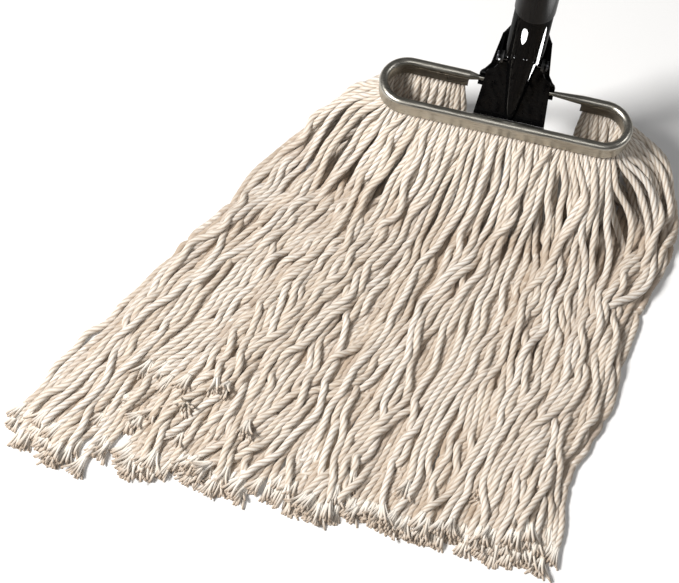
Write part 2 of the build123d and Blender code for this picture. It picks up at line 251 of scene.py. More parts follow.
def add_lights():
    """A key from the front left, weak fills, and cards that edge the black holder and pole."""
    add_area("key", (-1.1, -0.5, 1.45), (0.45, 0.45), KEY_POWER, colour=(1, 0.985, 0.965))
    add_area("fill", (1.3, 0.5, 1.2), (0.5, 0.5), FILL_POWER)
    add_area("front", (0.2, -0.7, 1.5), (0.5, 0.5), FRONT_POWER)
    x, y = AXIS
    holder = ["front_shell", "release_lever"]
    add_gleam("gleam_front", (x - 0.015, y - 0.037, 0.112), (0.022, 0.016), 0.16, holder)
    add_gleam("gleam_right", (x + 0.030, y - 0.004, 0.098), (0.012, 0.064), 0.20, holder)
    add_gleam("gleam_pole", (x + 0.036, y - 0.010, 0.165), (0.040, 0.050), 0.02, ["pole_tube"])


def add_world():
    """A weak white sky, shown without a film curve."""
    world = bpy.data.worlds.new("studio")
    world.use_nodes = True
    world.node_tree.nodes["Background"].inputs["Color"].default_value = (1, 1, 1, 1)
    world.node_tree.nodes["Background"].inputs["Strength"].default_value = SKY_STRENGTH
    bpy.context.scene.world = world
    bpy.context.scene.view_settings.view_transform = "Standard"


def add_floor():
    """A plain pale floor."""
    mesh = bpy.data.meshes.new("floor")
    half = FLOOR_HALF
    corners = [(-half, -half, 0), (half, -half, 0), (half, half, 0), (-half, half, 0)]
    mesh.from_pydata(corners, [], [(0, 1, 2, 3)])
    floor = bpy.data.objects.new("floor", mesh)
    bpy.context.scene.collection.objects.link(floor)
    material = bpy.data.materials.new("floor")
    material.use_nodes = True
    shader = material.node_tree.nodes["Principled BSDF"]
    shader.inputs["Base Color"].default_value = (0.82, 0.82, 0.82, 1)
    shader.inputs["Roughness"].default_value = 0.6
    mesh.materials.append(material)


# --- yarn layout ------------------------------------------------------------------------------


def heading_marks():
    """Distances along the heading at which its straight runs and end arcs meet."""
    end_arc = math.pi * ARC_R
    front_run = RIGHT_ARC - LEFT_ARC
    return np.cumsum([0, REAR_LEFT - LEFT_ARC, end_arc, front_run, end_arc, RIGHT_ARC - REAR_RIGHT])


def heading_place(s):
    """Point and outward direction in plan at distance s along the heading, from its rear left end."""
    marks = heading_marks()
    part = min(np.searchsorted(marks, s, "right") - 1, 4)
    along = s - marks[part]
    if part == 0:
        return np.array([REAR_LEFT - along, AXIS[1] + ARC_R]), np.array([0.0, 1.0])
    if part == 2:
        return np.array([LEFT_ARC + along, AXIS[1] - ARC_R]), np.array([0.0, -1.0])
    if part == 4:
        return np.array([RIGHT_ARC - along, AXIS[1] + ARC_R]), np.array([0.0, 1.0])
    angle = along / ARC_R
    side = -1 if part == 1 else 1
    start = 1 if part == 1 else -1
    out = np.array([side * math.sin(angle), start * math.cos(angle)])
    centre = np.array([LEFT_ARC if part == 1 else RIGHT_ARC, AXIS[1]])
    return centre + out * ARC_R, out


def distances(line):
    """Distance from a line's start to each of its points."""
    return np.concatenate([[0], np.cumsum(np.linalg.norm(np.diff(line, axis=0), axis=1))])


def between(a, b, c, d, t):
    """Point at share t from b to c on the Catmull-Rom curve through a, b, c and d."""
    bend = 2 * a - 5 * b + 4 * c - d
    return 0.5 * (2 * b + (c - a) * t + bend * t**2 + (3 * b - a - 3 * c + d) * t**3)


def smooth_line(points, count):
    """Evenly spaced points on a smooth curve through the given ones."""
    points = np.array(points, float)
    padded = np.vstack([2 * points[0] - points[1], points, 2 * points[-1] - points[-2]])
    curve = []
    for k in range(len(points) - 1):
        t = np.linspace(0, 1, CURVE_STEPS, endpoint=False)[:, None]
        a, b, c, d = padded[k:k + 4]
        curve.append(between(a, b, c, d, t))
    curve = np.vstack(curve + [points[-1:]])
    return even_steps(curve, count)


def even_steps(curve, count):
    """The same line with count evenly spaced points."""
    length = distances(curve)
    marks = np.linspace(0, length[-1], count)
    return np.stack([np.interp(marks, length, curve[:, k]) for k in range(curve.shape[1])], 1)


def waves(rng, count, shortest, longest):
    """Smooth noise along a yarn: count sine waves with random phases. Returns a function of distance."""
    lengths = rng.uniform(shortest, longest, count)
    phases = rng.uniform(0, 2 * math.pi, count)
    sizes = lengths / lengths.sum()
    return lambda x: sum(a * np.sin(2 * math.pi * x / w + p) for a, w, p in zip(sizes, lengths, phases)) * 1.6


def shared_waves(rng):
    """Noise that neighbouring yarns share, so that they run in locks."""
    terms = []
    for _ in range(10):
        across = rng.uniform(0.014, 0.045)
        along = rng.choice((-1, 1)) * rng.uniform(0.10, 0.30)
        terms.append((across, along, rng.uniform(0, 6.3)))
    return lambda s, x: sum(np.sin(2 * math.pi * (s / a + x / b) + p) for a, b, p in terms) / 3


def guide_route(place, lines):
    """Plan route from place on the heading: a blend of the guides on either side of it."""
    marks = heading_marks()
    stops = [marks[1], (marks[1] + marks[2]) / 2, marks[2], marks[3], (marks[3] + marks[4]) / 2, marks[4]]
    k = min(max(np.searchsorted(stops, place, "right") - 1, 0), len(stops) - 2)
    share = (place - stops[k]) / (stops[k + 1] - stops[k])
    return lines[k] * (1 - share) + lines[k + 1] * share


def wander(rng, place, travelled, outer, locks):
    """How far a yarn strays sideways from its route: in locks with its neighbours, and on its own."""
    loose = np.clip(travelled / LOOSE_LENGTH, 0, 1) ** EASE_POWER
    drift = np.clip(rng.normal(0, DRIFT), -DRIFT_MOST, DRIFT_MOST)
    drift = drift * (travelled / travelled[-1]) ** EASE_POWER
    spread = 1 + TIP_GATHER * travelled / travelled[-1]
    gather = OUTER_GATHER * spread if outer else INNER_GATHER
    own = waves(rng, 4, 0.050, 0.14)(travelled) * (OUTER_OWN if outer else INNER_OWN)
    kinks = waves(rng, 3, 0.024, 0.050)(travelled)
    kinks = kinks * (KINK + ROOT_KINK * np.exp(-travelled / ROOT_KINK_LENGTH))
    return (locks(place, travelled) * gather + own + kinks) * loose + drift


def plan_lines(rng):
    """For each yarn: its mark on the heading, its plan route, and which row and part it is in."""
    marks = heading_marks()
    lines = [smooth_line(points, STEPS * 2) + AXIS for points in GUIDES.values()]
    locks = shared_waves(rng)
    yarns = []
    for number, s in enumerate(np.arange(ROOT_SPACING / 2, marks[5], ROOT_SPACING)):
        root, out = heading_place(s)
        root = root + out * ROOT_STAGGER * (1 if number % 2 else -1)
        outer = bool(number % 2)
        tuck = 0 if outer else REAR_TUCK * math.pi * ARC_R
        under = s < marks[1] + tuck or s > marks[4] - tuck
        place = s
        if under:
            across = np.clip((root[0] - LEFT_ARC) / (RIGHT_ARC - LEFT_ARC), -0.06, 1.06)
            place = marks[2] + across * (marks[3] - marks[2])
        route = guide_route(place, lines)
        route = route - route[0]
        travelled = distances(route)
        route = route + root
        ahead = np.gradient(route, axis=0)
        ahead /= np.linalg.norm(ahead, axis=1, keepdims=True)
        aside = np.stack([-ahead[:, 1], ahead[:, 0]], 1)
        route = route + aside * wander(rng, place, travelled, outer, locks)[:, None]
        at_end = marks[1] <= s < marks[2] or marks[3] <= s < marks[4]
        yarns.append({"s": s, "route": route, "under": under, "outer": outer, "at_end": at_end})
    return yarns


def start_curves(yarns, rng):
    """The yarns' 3-D centrelines before they settle: each floats at its own height over its route."""
    curves = []
    trimmed = waves(rng, 5, 0.008, 0.035)
    marks = heading_marks()
    short_from, short_to = marks[1] + np.array(SHORT_LOCK) * (marks[2] - marks[1])
    for yarn in yarns:
        route = yarn["route"]
        travelled = distances(route)
        if yarn["under"]:
            reach, level = REAR_REACH, REAR_LEVEL
        elif yarn["outer"]:
            reach, level = OUTER_REACH, LIFT * rng.uniform(0.35, 1)
        else:
            reach, level = INNER_REACH, LIFT * rng.uniform(0, 0.3)
            if yarn["at_end"]:
                reach = INNER_REACH * rng.uniform(0.15, 1.0)
        reach = reach * rng.uniform(0.85, 1.15)
        height = (EXIT_Z - YARN_R) * np.exp(-(travelled / reach) ** DROP_POWER) + YARN_R
        climb = np.clip(travelled / CLIMB_LENGTH - CLIMB_START, 0, 1)
        rise = level * climb
        share = min(rng.uniform(0.975, 0.995) + TIP_UNEVEN * trimmed(yarn["s"]), 1.0)
        if rng.random() < SHORT_YARNS and not yarn["under"]:
            share = rng.uniform(0.80, 0.93)
        if yarn["outer"] and short_from < yarn["s"] < short_to:
            share = rng.uniform(*SHORT_SHARE)
            rise = LIFT * climb
        last = int(len(route) * share)
        curve = np.column_stack([route, height + rise])[:last]
        top = np.array([[*route[0], ROOT_Z]])
        curves.append(even_steps(np.vstack([top, curve]), STEPS))
    return np.array(curves)


# --- yarn settling ----------------------------------------------------------------------------


def close_pairs(points, reach):
    """Pairs of points nearer than reach, found by sorting the points into cubes of that size."""
    cell = np.floor(points / reach).astype(np.int64)
    cell -= cell.min(0) - 1
    size = cell.max(0) + 2
    key = (cell[:, 0] * size[1] + cell[:, 1]) * size[2] + cell[:, 2]
    order = np.argsort(key, kind="stable")
    key = key[order]
    index = np.arange(len(key))
    firsts, seconds = [], []
    around = [(a, b, c) for a in (-1, 0, 1) for b in (-1, 0, 1) for c in (-1, 0, 1) if (a, b, c) >= (0, 0, 0)]
    for a, b, c in around:
        shift = (a * size[1] + b) * size[2] + c
        low = index + 1 if shift == 0 else np.searchsorted(key, key + shift, "left")
        high = np.searchsorted(key, key + shift, "right")
        count = np.maximum(high - low, 0)
        start = np.cumsum(count) - count
        first = np.repeat(index, count)
        second = np.arange(count.sum()) - np.repeat(start, count) + np.repeat(low, count)
        firsts.append(order[first])
        seconds.append(order[second])
    first, second = np.concatenate(firsts), np.concatenate(seconds)
    gap = np.linalg.norm(points[first] - points[second], axis=1)
    near = gap < reach
    return first[near], second[near]


def push_apart(points, first, second, radius):
    """Moves overlapping pairs of points away from each other."""
    delta = points[first] - points[second]
    gap = np.maximum(np.linalg.norm(delta, axis=1), 1e-6)
    depth = np.maximum(radius[first] + radius[second] - gap, 0)
    move = delta * (PUSH * depth / gap)[:, None]
    for axis in range(3):
        points[:, axis] += np.bincount(first, move[:, axis], len(points))
        points[:, axis] -= np.bincount(second, move[:, axis], len(points))


def keep_off_ring(points):
    """Keeps yarns out of the flange and the bead above it."""
    x = np.clip(points[..., 0], LEFT_ARC, RIGHT_ARC)
    dx = points[..., 0] - x
    dy = points[..., 1] - AXIS[1]
    out = np.maximum(np.hypot(dx, dy), 1e-6)
    beyond = out - ARC_R
    clear = FLANGE_HALF + YARN_R
    inside = (np.abs(beyond) < clear) & (points[..., 2] > FLANGE_Z - YARN_R)
    side = np.where(beyond > 0, clear, -clear) - beyond
    down = FLANGE_Z - YARN_R - points[..., 2]
    sideways = inside & (np.abs(side) < np.abs(down))
    points[..., 0] += np.where(sideways, side * dx / out, 0)
    points[..., 1] += np.where(sideways, side * dy / out, 0)
    points[..., 2] += np.where(inside & ~sideways, down, 0)


def keep_length(curves, lengths):
    """Brings each step of each yarn back to its length."""
    for start in (0, 1, 0, 1):
        head = curves[:, start:-1:2]
        tail = curves[:, start + 1::2]
        step = tail - head
        size = np.linalg.norm(step, axis=2, keepdims=True)
        change = step * (1 - lengths[:, None, None] / size) * 0.5
        curves[:, start:-1:2] += change
        curves[:, start + 1::2] -= change


def settle(curves, undulation, rounds):
    """Lets the yarns fall on each other and the floor, while each keeps near its route."""
    count, steps, _ = curves.shape
    target = curves.copy()
    rest = target * (1, 1, 0)
    rest[..., 2] = undulation
    lengths = np.linalg.norm(np.diff(curves, axis=1), axis=2).mean(1)
    along = np.arange(steps) / (steps - 1) * USUAL_LENGTH
    radius = ROOT_R + (YARN_R - ROOT_R) * np.clip(along / ROOT_EASE, 0, 1)
    radius = np.tile(radius, count)
    name = np.repeat(np.arange(count), steps)
    place = np.tile(np.arange(steps), count)
    rooted = curves[:, :2].copy()
    held = np.clip(1 - along / HELD_LENGTH, 0, 1)[None, :]
    level = np.maximum(target[:, 40:, 2].mean(1) - YARN_R, 0)[:, None]
    rise = np.clip(along / CLIMB_LENGTH - CLIMB_START, 0, 1)[None, :] * level
    for k in range(rounds):
        fall = FALL_EARLY if k < rounds * 0.7 else FALL_LATE
        curves[:, 2:, 2] -= fall * (1 - 0.9 * held[:, 2:])
        sag = target[..., 2] - rise * min(1, k / (rounds * 0.5)) * 0.8
        curves[..., 2] += HOLD_UP * held * (np.maximum(sag, YARN_R) - curves[..., 2])
        curves[..., :2] += KEEP_ROUTE * (target[..., :2] - curves[..., :2])
        shape = curves - rest
        curves[:, 1:-1] += STIFFNESS * (0.5 * (shape[:, :-2] + shape[:, 2:]) - shape[:, 1:-1])
        flat = curves.reshape(-1, 3)
        if k % SEARCH_EVERY == 0:
            first, second = close_pairs(flat, 2 * YARN_R + SEARCH_MARGIN)
            apart = (name[first] != name[second]) | (np.abs(place[first] - place[second]) > 3)
            first, second = first[apart], second[apart]
        push_apart(flat, first, second, radius)
        curves = flat.reshape(count, steps, 3)
        keep_off_ring(curves)
        keep_length(curves, lengths)
        curves[:, :2] = rooted
        np.maximum(curves[..., 2], YARN_R, out=curves[..., 2])
    return curves


# --- yarn meshes ------------------------------------------------------------------------------


def refine(curves, step):
    """The centrelines with a point at each step, as one smooth curve each."""
    count = int(round(np.linalg.norm(np.diff(curves, axis=1), axis=2).sum(1).mean() / step))
    where = np.linspace(0, curves.shape[1] - 1, count)
    k = np.minimum(where.astype(int), curves.shape[1] - 2)
    t = (where - k)[None, :, None]
    before = 2 * curves[:, :1] - curves[:, 1:2]
    after = 2 * curves[:, -1:] - curves[:, -2:-1]
    padded = np.concatenate([before, curves, after], 1)
    return between(padded[:, k], padded[:, k + 1], padded[:, k + 2], padded[:, k + 3], t)


def cross_frames(curves):
    """Unit tangents and two crosswise directions that don't spin, along each curve."""
    tangent = np.gradient(curves, axis=1)
    tangent /= np.maximum(np.linalg.norm(tangent, axis=2, keepdims=True), 1e-9)
    side = np.empty_like(curves)
    start = np.cross(tangent[:, 0], (0.3, 0.2, 0.93))
    side[:, 0] = start / np.linalg.norm(start, axis=1, keepdims=True)
    for k in range(1, curves.shape[1]):
        turned = side[:, k - 1] - tangent[:, k] * (side[:, k - 1] * tangent[:, k]).sum(1, keepdims=True)
        side[:, k] = turned / np.linalg.norm(turned, axis=1, keepdims=True)
    return tangent, side, np.cross(tangent, side)


def tube_faces(tubes, rings, sides):
    """Quads and end caps of many tubes whose vertices are stored tube by tube, ring by ring."""
    ring = np.arange(rings - 1)[:, None] * sides
    corner = np.arange(sides)[None, :]
    turn = (corner + 1) % sides
    quad = np.stack([ring + corner, ring + turn, ring + sides + turn, ring + sides + corner], -1)
    base = np.arange(tubes)[:, None, None] * rings * sides
    quads = (quad.reshape(-1, 4)[None] + base).reshape(-1, 4)
    caps = []
    for t in range(tubes):
        start = t * rings * sides
        caps.append(start + np.arange(sides)[::-1])
        caps.append(start + (rings - 1) * sides + np.arange(sides))
    return quads, caps


def yarn_tubes(lines, rng):
    """Vertices of four-ply yarns: lobed sections that turn along each centreline.

    Also how far each vertex sits into the grooves between plies, used as painted shade there, its place in
    the fibres' pattern, and the frames.
    """
    tangent, side, top = cross_frames(lines)
    count = len(lines)
    step = np.linalg.norm(np.diff(lines, axis=1), axis=2)
    along = np.concatenate([np.zeros((count, 1)), np.cumsum(step, 1)], 1)
    angle = (np.arange(PLIES)[:, None] * math.pi / 2 + PLY_ANGLES[None, :]).ravel()
    reach = np.tile(PLY_REACH, PLIES)
    pitch = TWIST_PITCH * rng.uniform(0.9, 1.15, (count, 1))
    turn = 2 * math.pi * along / pitch + rng.uniform(0, 6.3, (count, 1))
    ease = ROOT_R / YARN_R + (1 - ROOT_R / YARN_R) * np.clip(along / ROOT_EASE, 0, 1)
    left = along[:, -1:] - along
    taper = 0.55 + 0.45 * np.clip(left / TAPER_LENGTH, 0, 1)
    swell_length = rng.uniform(0.006, 0.02, (count, 1))
    swell = 1 + 0.05 * np.sin(along / swell_length + rng.uniform(0, 6, (count, 1)))
    size = YARN_R * ease * taper * swell
    phi = turn[:, :, None] + angle[None, None, :]
    radial = np.cos(phi)[..., None] * side[:, :, None] + np.sin(phi)[..., None] * top[:, :, None]
    points = lines[:, :, None] + radial * (size[:, :, None] * reach)[..., None]
    # Painted shade: vertices sunk between the plies get a darker base colour in place of the shade that falls
    # in those grooves.
    painted_shade = np.broadcast_to((1 - reach) / (1 - reach.min()), phi.shape)
    number = np.arange(count)[:, None, None] * 3.7
    around = np.broadcast_to(angle[None, None, :], phi.shape)
    lengthwise = np.broadcast_to(along[:, :, None] / GRAIN_LENGTH + number, phi.shape)
    grain = np.stack([np.cos(around), np.sin(around), lengthwise], -1)
    return points.reshape(-1, 3), painted_shade.reshape(-1), grain.reshape(-1, 3), (tangent, side, top)


def strand_lines(lines, frames, rng):
    """Centrelines of the loose strands that open out like a brush at each yarn's tip."""
    count = len(lines)
    base = lines[:, -4][:, None]
    ahead, across, up = (v[:, -4][:, None] for v in frames)
    turn = np.arange(STRANDS) * GOLDEN_TURN + rng.uniform(0, 6.3, (count, 1))
    spot = np.sqrt((np.arange(STRANDS) + 0.5) / STRANDS)[None, :] * rng.uniform(0.9, 1.1, (count, STRANDS))
    out = np.cos(turn)[..., None] * across + np.sin(turn)[..., None] * up
    fan = rng.uniform(*STRAND_FAN, (count, 1, 1)) * spot[..., None]
    fan = fan * rng.uniform(0.5, 1.3, (count, STRANDS, 1))
    length = rng.uniform(*STRAND_LENGTH, (count, 1, 1)) * rng.uniform(0.92, 1.03, (count, STRANDS, 1))
    t = np.linspace(0, 1, STRAND_RINGS)[None, None, :, None]
    lean = rng.normal(0, STRAND_CURL, (count, STRANDS, 1, 3))
    curl = lean * np.sin(math.pi * t * rng.uniform(0.7, 1.6, (count, STRANDS, 1, 1)))
    start = base[:, :, None] + (out * YARN_R * STRAND_SPOT * spot[..., None])[:, :, None]
    curve = start + ahead[:, :, None] * length[:, :, None] * t
    curve = curve + out[:, :, None] * (fan * length)[:, :, None] * (0.4 * t + 0.9 * t**2) + curl * t
    sink = rng.uniform(0, STRAND_SINK, (count, 1, 1))
    curve[..., 2] -= sink * t[..., 0] ** 2
    curve[..., 2] = np.maximum(curve[..., 2], STRAND_LOW)
    return curve.reshape(count * STRANDS, STRAND_RINGS, 3)


def frayed_ends(lines, frames, rng):
    """Vertices of the loose strands at the yarns' tips, and their place in the fibres' pattern."""
    curve = strand_lines(lines, frames, rng)
    _, side, top = cross_frames(curve)
    size = np.interp(np.linspace(0, 1, STRAND_RINGS), [0, 0.85, 1], STRAND_RADII)
    phi = np.arange(STRAND_SIDES) / STRAND_SIDES * 2 * math.pi
    radial = np.cos(phi)[:, None] * side[:, :, None] + np.sin(phi)[:, None] * top[:, :, None]
    points = curve[:, :, None] + radial * size[None, :, None, None]
    grain = np.zeros((len(curve), STRAND_RINGS, STRAND_SIDES, 3))
    grain[..., 0] = np.cos(phi) * 0.2 + np.arange(len(curve))[:, None, None]
    grain[..., 1] = np.sin(phi) * 0.2
    grain[..., 2] = np.arange(STRAND_RINGS)[None, :, None] / STRAND_RINGS
    return points.reshape(-1, 3), grain.reshape(-1, 3)


def mesh_object(name, points, quads, caps, painted_shade, tint, grain, material):
    """A mesh object from arrays of vertices, quads and end caps."""
    mesh = bpy.data.meshes.new(name)
    loops = np.concatenate([quads.ravel()] + caps)
    sizes = np.concatenate([np.full(len(quads), 4), [len(c) for c in caps]]).astype(np.int32)
    starts = np.concatenate([[0], np.cumsum(sizes)[:-1]]).astype(np.int32)
    mesh.vertices.add(len(points))
    mesh.vertices.foreach_set("co", points.astype(np.float32).ravel())
    mesh.loops.add(len(loops))
    mesh.loops.foreach_set("vertex_index", loops.astype(np.int32))
    mesh.polygons.add(len(sizes))
    mesh.polygons.foreach_set("loop_start", starts)
    mesh.update(calc_edges=True)
    mesh.validate()
    mesh.shade_smooth()
    for label, values in (("painted_shade", painted_shade), ("tint", tint)):
        layer = mesh.attributes.new(label, "FLOAT", "POINT")
        layer.data.foreach_set("value", values.astype(np.float32))
    layer = mesh.attributes.new("grain", "FLOAT_VECTOR", "POINT")
    layer.data.foreach_set("vector", grain.astype(np.float32).ravel())
    mesh.materials.append(material)
    obj = bpy.data.objects.new(name, mesh)
    bpy.context.scene.collection.objects.link(obj)
    return obj


def pile_depth(lines):
    """How far each point lies under the yarns around it: 0 on top, 1 at DEEP or more. None near the ring."""
    cell = np.floor(lines[..., :2] / DEPTH_CELL).astype(int)
    cell -= cell.min((0, 1)) - 1
    top = np.zeros(cell.max((0, 1)) + 2)
    np.maximum.at(top, (cell[..., 0], cell[..., 1]), lines[..., 2])
    around = np.max([np.roll(top, (a, b), (0, 1)) for a in (-1, 0, 1) for b in (-1, 0, 1)], 0)
    under = np.clip((around[cell[..., 0], cell[..., 1]] - lines[..., 2]) / DEEP, 0, 1)
    along = np.arange(lines.shape[1]) * DETAIL_STEP
    return under * np.clip((along - DEEP_FROM) / DEEP_EASE, 0, 1)


def yarn_sector(name, node, lines, depth, rng, material):
    """One piece: the yarns of a sector of the head, with their frayed tips."""
    points, painted_shade, grain, frames = yarn_tubes(lines, rng)
    quads, caps = tube_faces(len(lines), lines.shape[1], YARN_SIDES)
    tint = np.repeat(rng.uniform(0, 1, len(lines)), lines.shape[1] * YARN_SIDES)
    # Painted shade: yarns that lie under others in the pile get more darkening, on top of the painted shade
    # between the plies.
    painted_shade = 1 - (1 - painted_shade) * (1 - DEEP_SHADE * np.repeat(depth.ravel(), YARN_SIDES))
    ends, end_grain = frayed_ends(lines, frames, rng)
    strands = len(lines) * STRANDS
    end_quads, end_caps = tube_faces(strands, STRAND_RINGS, STRAND_SIDES)
    caps = caps + [c + len(points) for c in end_caps]
    quads = np.vstack([quads, end_quads + len(points)])
    strand_tint = np.repeat(rng.uniform(0.2, 1, strands), STRAND_RINGS * STRAND_SIDES)
    # Painted shadow: each loose strand's base colour darkens towards its cut end, standing in for the shadow
    # along the bottom row of tips.
    painted_tip_shade = np.tile(np.repeat(np.linspace(0, 1, STRAND_RINGS) ** 3, STRAND_SIDES), strands)
    points = np.vstack([points, ends])
    painted_shade = np.concatenate([painted_shade, painted_tip_shade])
    tint = np.concatenate([tint, strand_tint])
    grain = np.vstack([grain, end_grain])
    piece = mesh_object(name, points, quads, caps, painted_shade, tint, grain, material)
    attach(piece, "mop")
    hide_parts(node)
    return piece


def tape_profile():
    """Closed section of the folded tape, as offset and height: up the outside, over, and down inside."""
    top = TAPE_HIGH - TAPE_HALF
    bend = np.linspace(math.pi, 0, TAPE_BEND_STEPS)
    legs = np.linspace(TAPE_LOW, top, TAPE_LEG_STEPS, endpoint=False)
    outer = np.column_stack([TAPE_HALF * np.cos(bend), top + TAPE_HALF * np.sin(bend)])
    left = np.column_stack([np.full(TAPE_LEG_STEPS, -TAPE_HALF), legs])
    right = left[::-1] * (-1, 1)
    over = np.vstack([left, outer, right])
    thin = 1 - TAPE_T / TAPE_HALF
    x, z = over[::-1].T
    under = np.column_stack([x * thin, np.where(z > top, (z - top) * thin + top, z)])
    return np.vstack([over, under])


def heading_tape(material):
    """The woven tape that is folded over the yarns' heads, inside the channel."""
    marks = heading_marks()
    stations = np.linspace(0, marks[5], TAPE_STATIONS)
    profile = tape_profile()
    ripple = TAPE_RIPPLE * np.sin(stations / TAPE_RIPPLE_LENGTH * 2 * math.pi)
    points, grain = [], []
    around = distances(profile)
    for s, lean in zip(stations, ripple):
        place, out = heading_place(s)
        plan = place + out * (profile[:, :1] + lean)
        points.append(np.column_stack([plan, profile[:, 1]]))
        grain.append(np.column_stack([np.full(len(profile), s), around, np.zeros(len(profile))]))
    quads, caps = tube_faces(1, TAPE_STATIONS, len(profile))
    points, grain = np.vstack(points), np.vstack(grain) / WEAVE
    flat = np.zeros(len(points))
    piece = mesh_object("woven_heading_tape", points, quads, caps, flat, flat, grain, material)
    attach(piece, "mop")
    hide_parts("heading_tape")


def attribute(nodes, name):
    """A node that reads a value stored in the mesh."""
    node = nodes.new("ShaderNodeAttribute")
    node.attribute_name = name
    return node


def cotton():
    """Undyed cotton: cream and streaked with fibres, with painted shade that turns the base colour brown in
    the ply grooves, under other yarns in the pile and at the frayed tips.
    """
    material = bpy.data.materials.new("cotton")
    material.use_nodes = True
    nodes, links = material.node_tree.nodes, material.node_tree.links
    shader = nodes["Principled BSDF"]
    shader.inputs["Roughness"].default_value = 0.85
    shader.inputs["Sheen Weight"].default_value = 0.15
    shader.inputs["Specular IOR Level"].default_value = 0.2
    painted_shade, tint, grain = (attribute(nodes, name) for name in ("painted_shade", "tint", "grain"))
    pale = nodes.new("ShaderNodeMix")
    pale.data_type = "RGBA"
    pale.inputs["A"].default_value = (0.76, 0.69, 0.60, 1)
    pale.inputs["B"].default_value = (0.87, 0.83, 0.77, 1)
    links.new(tint.outputs["Fac"], pale.inputs["Factor"])
    fibres = nodes.new("ShaderNodeTexNoise")
    fibres.inputs["Scale"].default_value = 5
    fibres.inputs["Detail"].default_value = 5
    fibres.inputs["Roughness"].default_value = 0.7
    links.new(grain.outputs["Vector"], fibres.inputs["Vector"])
    streak = nodes.new("ShaderNodeMapRange")
    streak.inputs["From Min"].default_value = 0.3
    streak.inputs["From Max"].default_value = 0.7
    streak.inputs["To Min"].default_value = 0.80
    streak.inputs["To Max"].default_value = 1.0
    links.new(fibres.outputs["Fac"], streak.inputs["Value"])
    streaked = nodes.new("ShaderNodeMix")
    streaked.data_type = "RGBA"
    streaked.blend_type = "MULTIPLY"
    streaked.inputs["Factor"].default_value = 1
    links.new(pale.outputs["Result"], streaked.inputs["A"])
    links.new(streak.outputs["Result"], streaked.inputs["B"])
    # Painted shade: the stored shade amount mixes the cotton towards this dark brown.
    deep = nodes.new("ShaderNodeMix")
    deep.data_type = "RGBA"
    deep.inputs["B"].default_value = (0.30, 0.20, 0.12, 1)
    links.new(streaked.outputs["Result"], deep.inputs["A"])
    shade = nodes.new("ShaderNodeMath")
    shade.operation = "MULTIPLY"
    shade.inputs[1].default_value = GROOVE_SHADE
    links.new(painted_shade.outputs["Fac"], shade.inputs[0])
    links.new(shade.outputs[0], deep.inputs["Factor"])
    links.new(deep.outputs["Result"], shader.inputs["Base Color"])
    bump = nodes.new("ShaderNodeBump")
    bump.inputs["Strength"].default_value = 0.6
    bump.inputs["Distance"].default_value = 0.0004
    links.new(fibres.outputs["Fac"], bump.inputs["Height"])
    links.new(bump.outputs["Normal"], shader.inputs["Normal"])
    return material


def woven():
    """Plain cotton weave: threads that cross over and under each other."""
    material, shader = surface("woven_tape", (0.74, 0.69, 0.60), 0.85, specular=0.2)
    nodes, links = material.node_tree.nodes, material.node_tree.links
    grain = attribute(nodes, "grain")
    check = nodes.new("ShaderNodeTexChecker")
    check.inputs["Scale"].default_value = 1
    links.new(grain.outputs["Vector"], check.inputs["Vector"])
    check.inputs["Color1"].default_value = (0.80, 0.75, 0.66, 1)
    check.inputs["Color2"].default_value = (0.60, 0.54, 0.45, 1)
    links.new(check.outputs["Color"], shader.inputs["Base Color"])
    relief = nodes.new("ShaderNodeBump")
    relief.inputs["Strength"].default_value = 0.6
    relief.inputs["Distance"].default_value = 0.0001
    links.new(check.outputs["Fac"], relief.inputs["Height"])
    links.new(relief.outputs["Normal"], shader.inputs["Normal"])
    return material


def surface(name, colour, roughness, metallic=0.0, specular=0.5):
    """A new material and its shader, with one colour and roughness."""
    material = bpy.data.materials.new(name)
    material.use_nodes = True
    shader = material.node_tree.nodes["Principled BSDF"]
    shader.inputs["Base Color"].default_value = (*colour, 1)
    shader.inputs["Roughness"].default_value = roughness
    shader.inputs["Metallic"].default_value = metallic
    shader.inputs["Specular IOR Level"].default_value = specular
    return material, shader


def grained(material, shader, stretch, scale, colours, roughness, bump):
    """Adds a stretched noise to a material, which varies its colour, roughness and height."""
    nodes, links = material.node_tree.nodes, material.node_tree.links
    place = nodes.new("ShaderNodeTexCoord")
    mapping = nodes.new("ShaderNodeMapping")
    mapping.inputs["Scale"].default_value = stretch
    links.new(place.outputs["Object"], mapping.inputs["Vector"])
    noise = nodes.new("ShaderNodeTexNoise")
    noise.inputs["Scale"].default_value = scale
    noise.inputs["Detail"].default_value = 6
    noise.inputs["Roughness"].default_value = 0.65
    links.new(mapping.outputs["Vector"], noise.inputs["Vector"])
    ramp = nodes.new("ShaderNodeValToRGB")
    ramp.color_ramp.elements[0].position = 0.3
    ramp.color_ramp.elements[1].position = 0.7
    ramp.color_ramp.elements[0].color = (*colours[0], 1)
    ramp.color_ramp.elements[1].color = (*colours[1], 1)
    links.new(noise.outputs["Fac"], ramp.inputs["Fac"])
    links.new(ramp.outputs["Color"], shader.inputs["Base Color"])
    rough = nodes.new("ShaderNodeMapRange")
    rough.inputs["From Min"].default_value = 0.3
    rough.inputs["From Max"].default_value = 0.7
    rough.inputs["To Min"].default_value = roughness[0]
    rough.inputs["To Max"].default_value = roughness[1]
    links.new(noise.outputs["Fac"], rough.inputs["Value"])
    links.new(rough.outputs["Result"], shader.inputs["Roughness"])
    relief = nodes.new("ShaderNodeBump")
    relief.inputs["Strength"].default_value = 0.5
    relief.inputs["Distance"].default_value = bump
    links.new(noise.outputs["Fac"], relief.inputs["Height"])
    links.new(relief.outputs["Normal"], shader.inputs["Normal"])
    return material


def lacquered(material, shader):
    """A clear gloss coat over a surface that is itself nearly dead black."""
    shader.inputs["Coat Weight"].default_value = 0.15
    shader.inputs["Coat Roughness"].default_value = 0.03
    shader.inputs["Coat IOR"].default_value = 1.45
    return material, shader


